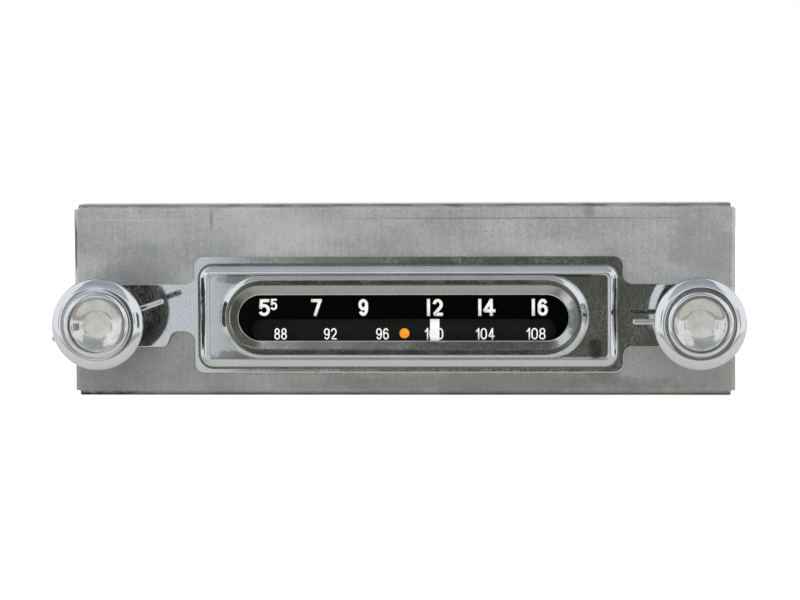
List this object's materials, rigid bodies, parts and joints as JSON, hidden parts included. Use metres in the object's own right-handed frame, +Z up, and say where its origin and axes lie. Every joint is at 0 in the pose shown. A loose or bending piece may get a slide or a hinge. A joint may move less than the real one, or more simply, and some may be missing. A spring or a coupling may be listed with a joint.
{
  "type": "car radio",
  "caption": "Shaft-type car radio: folded steel case, chrome bezel round a dark slide-rule dial, dished chrome knobs on concentric shafts with a lever behind each.",
  "frame": {"origin": "middle of the case's bottom face: midway between the two shafts and midway between the case's front and rear faces", "axes": "+X to the viewer's right, +Y from the front to the rear, +Z up; the dial and the knobs face -Y"},
  "size_m": [0.2049, 0.1508, 0.0579],
  "materials": {
    "chrome": "bright chrome plate, mirror-like",
    "spun_aluminium": "spun and polished",
    "raw_steel": "bare sheet steel, finely brushed, a little stained",
    "zinc_plate": "zinc plated, satin",
    "brass": "turned, satin",
    "aluminium": "drawn or extruded, satin",
    "black_acrylic": "polished",
    "black_paint": "matt",
    "white_paint": "satin",
    "black_plastic": "moulded, matt",
    "white_plastic": "moulded, matt",
    "cord": "waxed braid",
    "glass": "clear bulb",
    "laminate": "phenolic paper laminate",
    "ferrite": "pressed iron powder, matt",
    "blue_sleeve": "shrunk sleeve"
  },
  "bodies": {
    "case": {"face_plate": "raw_steel", "case_shell": "zinc_plate", "top_cover": "zinc_plate", "rear_panel": "zinc_plate", "cover_screw_left": "zinc_plate", "cover_screw_right": "zinc_plate", "heat_sink": "aluminium", "power_transistor": "zinc_plate", "aerial_socket": "zinc_plate", "power_socket": "white_plastic", "support_stud": "zinc_plate", "support_nut": "zinc_plate", "bezel": "chrome", "dial_lens": "black_acrylic", "dial_mask": "black_paint", "dial_backplate": "black_paint", "guide_rail": "zinc_plate", "dial_cord": "cord", "pulley_stud": "zinc_plate", "lamp_holder": "zinc_plate", "dial_lamp": "glass", "left_bushing": "brass", "left_washer": "zinc_plate", "left_nut": "zinc_plate", "right_bushing": "brass", "right_washer": "zinc_plate", "right_nut": "zinc_plate", "tone_control": "zinc_plate", "fader_control": "zinc_plate", "volume_control": "zinc_plate", "tuner_frame": "zinc_plate", "coil_can_1": "aluminium", "coil_can_2": "aluminium", "coil_can_3": "aluminium", "circuit_board": "laminate", "if_can": "aluminium", "filter_capacitor": "blue_sleeve", "output_transformer": "raw_steel"},
    "volume": {"volume_spindle": "zinc_plate", "volume_knob": "chrome", "volume_knob_insert": "spun_aluminium", "volume_set_screw": "zinc_plate"},
    "tone": {"tone_sleeve": "brass", "tone_collar": "chrome", "tone_rod": "chrome"},
    "fader": {"fader_sleeve": "brass", "fader_collar": "chrome", "fader_rod": "chrome"},
    "tuning": {"tuning_spindle": "zinc_plate", "tuning_knob": "chrome", "tuning_knob_insert": "spun_aluminium", "tuning_set_screw": "zinc_plate", "tuning_spool": "brass"},
    "dial_pointer": {"pointer": "white_paint", "pointer_carriage": "black_plastic"},
    "idler": {"idler_pulley": "black_plastic"},
    "cores": {"core_carriage": "black_plastic", "tuning_core_1": "ferrite", "tuning_core_2": "ferrite", "tuning_core_3": "ferrite"}
  },
  "joints": [
    {"name": "volume_turn", "type": "hinge", "parent": "case", "child": "volume", "pos_m": [-0.08815, -0.055, 0.02395], "axis": [0, 1, 0], "range_deg": [-150, 150]},
    {"name": "tone_turn", "type": "hinge", "parent": "case", "child": "tone", "pos_m": [-0.08815, -0.055, 0.02395], "axis": [0, 1, 0], "range_deg": [-135, 135]},
    {"name": "fader_turn", "type": "hinge", "parent": "case", "child": "fader", "pos_m": [0.08815, -0.055, 0.02395], "axis": [0, 1, 0], "range_deg": [-135, 135]},
    {"name": "tuning_turn", "type": "hinge", "parent": "case", "child": "tuning", "pos_m": [0.08815, -0.055, 0.02395], "axis": [0, 1, 0], "range_deg": [-666, 437]},
    {"name": "pointer_slide", "type": "slide", "parent": "case", "child": "dial_pointer", "axis": [1, 0, 0], "range_m": [-0.0466, 0.0306]},
    {"name": "idler_turn", "type": "hinge", "parent": "case", "child": "idler", "pos_m": [-0.06, -0.055, 0.02395], "axis": [0, 1, 0], "range_deg": [-667, 438]},
    {"name": "core_slide", "type": "slide", "parent": "case", "child": "cores", "axis": [0, 1, 0], "range_m": [-0.0075, 0.0049]}
  ],
  "couplings": [
    {"joint": "pointer_slide", "follows": "tuning_turn", "m_per_rad": 0.004},
    {"joint": "idler_turn", "follows": "tuning_turn", "ratio": 1},
    {"joint": "core_slide", "follows": "tuning_turn", "m_per_rad": 0.000636}
  ]
}
